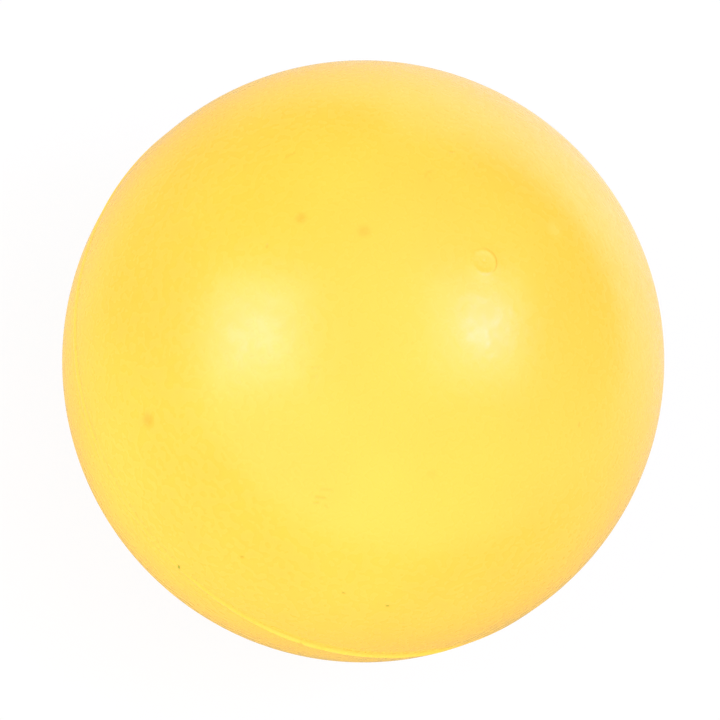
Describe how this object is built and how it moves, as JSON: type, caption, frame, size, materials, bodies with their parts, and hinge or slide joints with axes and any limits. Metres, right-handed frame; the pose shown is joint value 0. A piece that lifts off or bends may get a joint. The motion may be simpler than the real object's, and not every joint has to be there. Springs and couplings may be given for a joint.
{
  "type": "playground ball",
  "caption": "Inflated yellow rubber playground ball with a raised mould seam round its equator and a pull-out needle valve core at the pole.",
  "frame": {"origin": "centre of the ball", "axes": "+Z along the valve's axis, which is also the mould's axis, out through the valve; the seam lies in the XY plane"},
  "size_m": [0.2182, 0.2182, 0.2157],
  "materials": {
    "cover_rubber": "satin moulded rubber with fine orange peel",
    "core_rubber": "satin moulded rubber",
    "winding_nylon": "wound white nylon thread in latex",
    "bladder_butyl": "matte black butyl",
    "valve_butyl": "satin black butyl"
  },
  "bodies": {
    "ball": {"cover_valve_half": "cover_rubber", "cover_far_half": "cover_rubber", "seam_strip": "cover_rubber", "thread_winding": "winding_nylon", "bladder": "bladder_butyl", "bladder_patch": "valve_butyl", "valve_body": "valve_butyl"},
    "valve_core": {"valve_core": "core_rubber"}
  },
  "joints": [
    {"name": "core_pull", "type": "slide", "parent": "ball", "child": "valve_core", "axis": [0, 0, 1], "range_m": [0, 0.02]}
  ]
}
